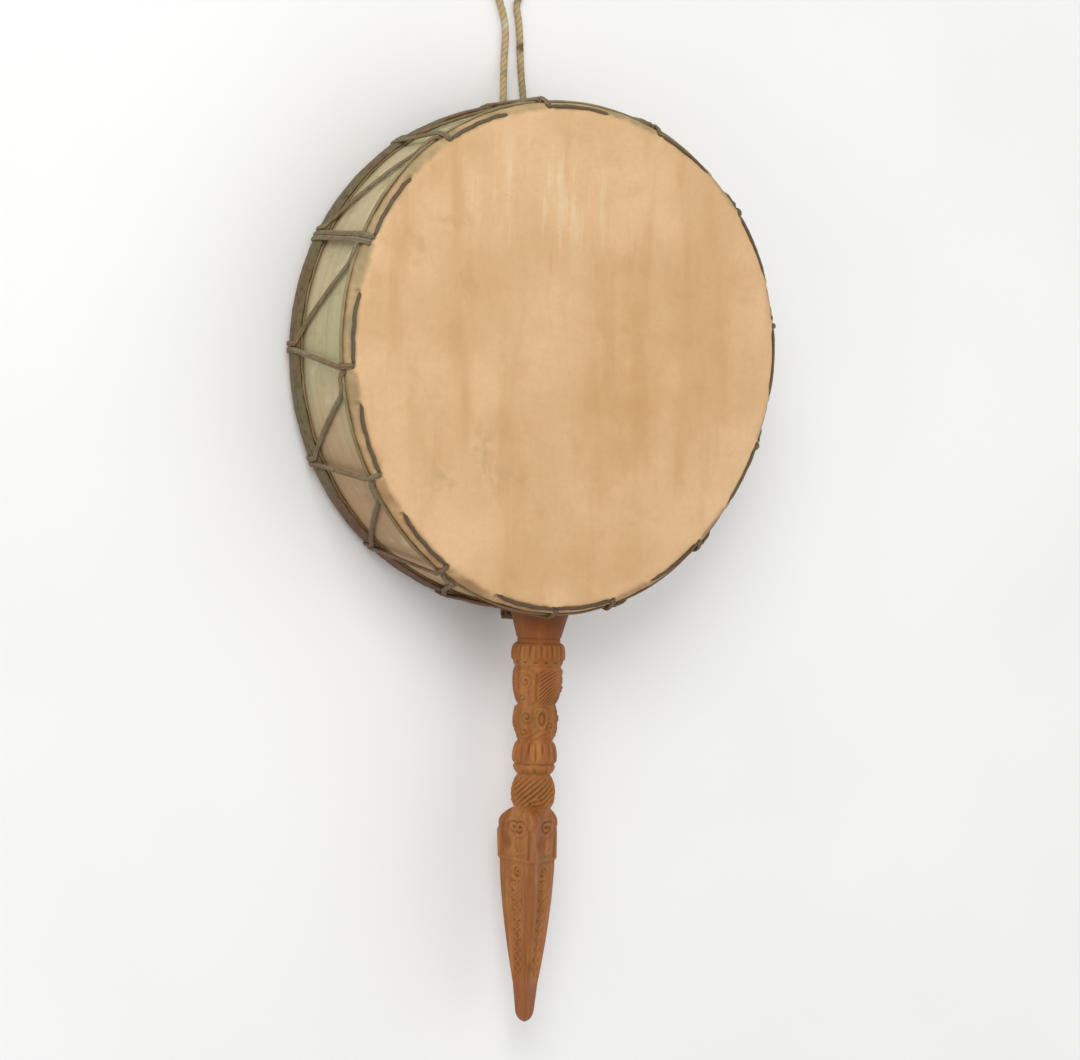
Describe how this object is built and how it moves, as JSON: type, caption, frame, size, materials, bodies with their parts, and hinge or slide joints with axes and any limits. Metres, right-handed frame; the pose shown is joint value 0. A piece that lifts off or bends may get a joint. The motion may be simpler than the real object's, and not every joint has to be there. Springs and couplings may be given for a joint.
{
  "type": "ceremonial hand drum",
  "caption": "Double-headed hoop drum for ritual use, with laced skin heads, a carved dagger-shaped wooden handle and a hanging loop, lying on its rear head.",
  "frame": {"origin": "centre of the rear head's flat outer face, which the drum lies on", "axes": "+Z out of the front head, -Y along the carved handle, +Y along the hanging loop"},
  "size_m": [0.4111, 0.8544, 0.095],
  "materials": {
    "hoop_wood": "bare bent wood, greyed",
    "front_skin": "stretched rawhide, satin",
    "rear_skin": "stretched rawhide, satin",
    "cane": "cane, dulled green-brown",
    "rolled_hide": "dark rolled hide",
    "thong": "twisted rawhide thong",
    "carved_wood": "carved hardwood, oiled",
    "cord": "twisted fibre cord"
  },
  "bodies": {
    "root": {"hoop": "hoop_wood", "front_head": "front_skin", "rear_head": "rear_skin", "front_hem_cane": "cane", "rear_hem_roll": "rolled_hide", "lacing": "thong", "handle": "carved_wood", "hanging_cord": "cord"}
  },
  "joints": []
}
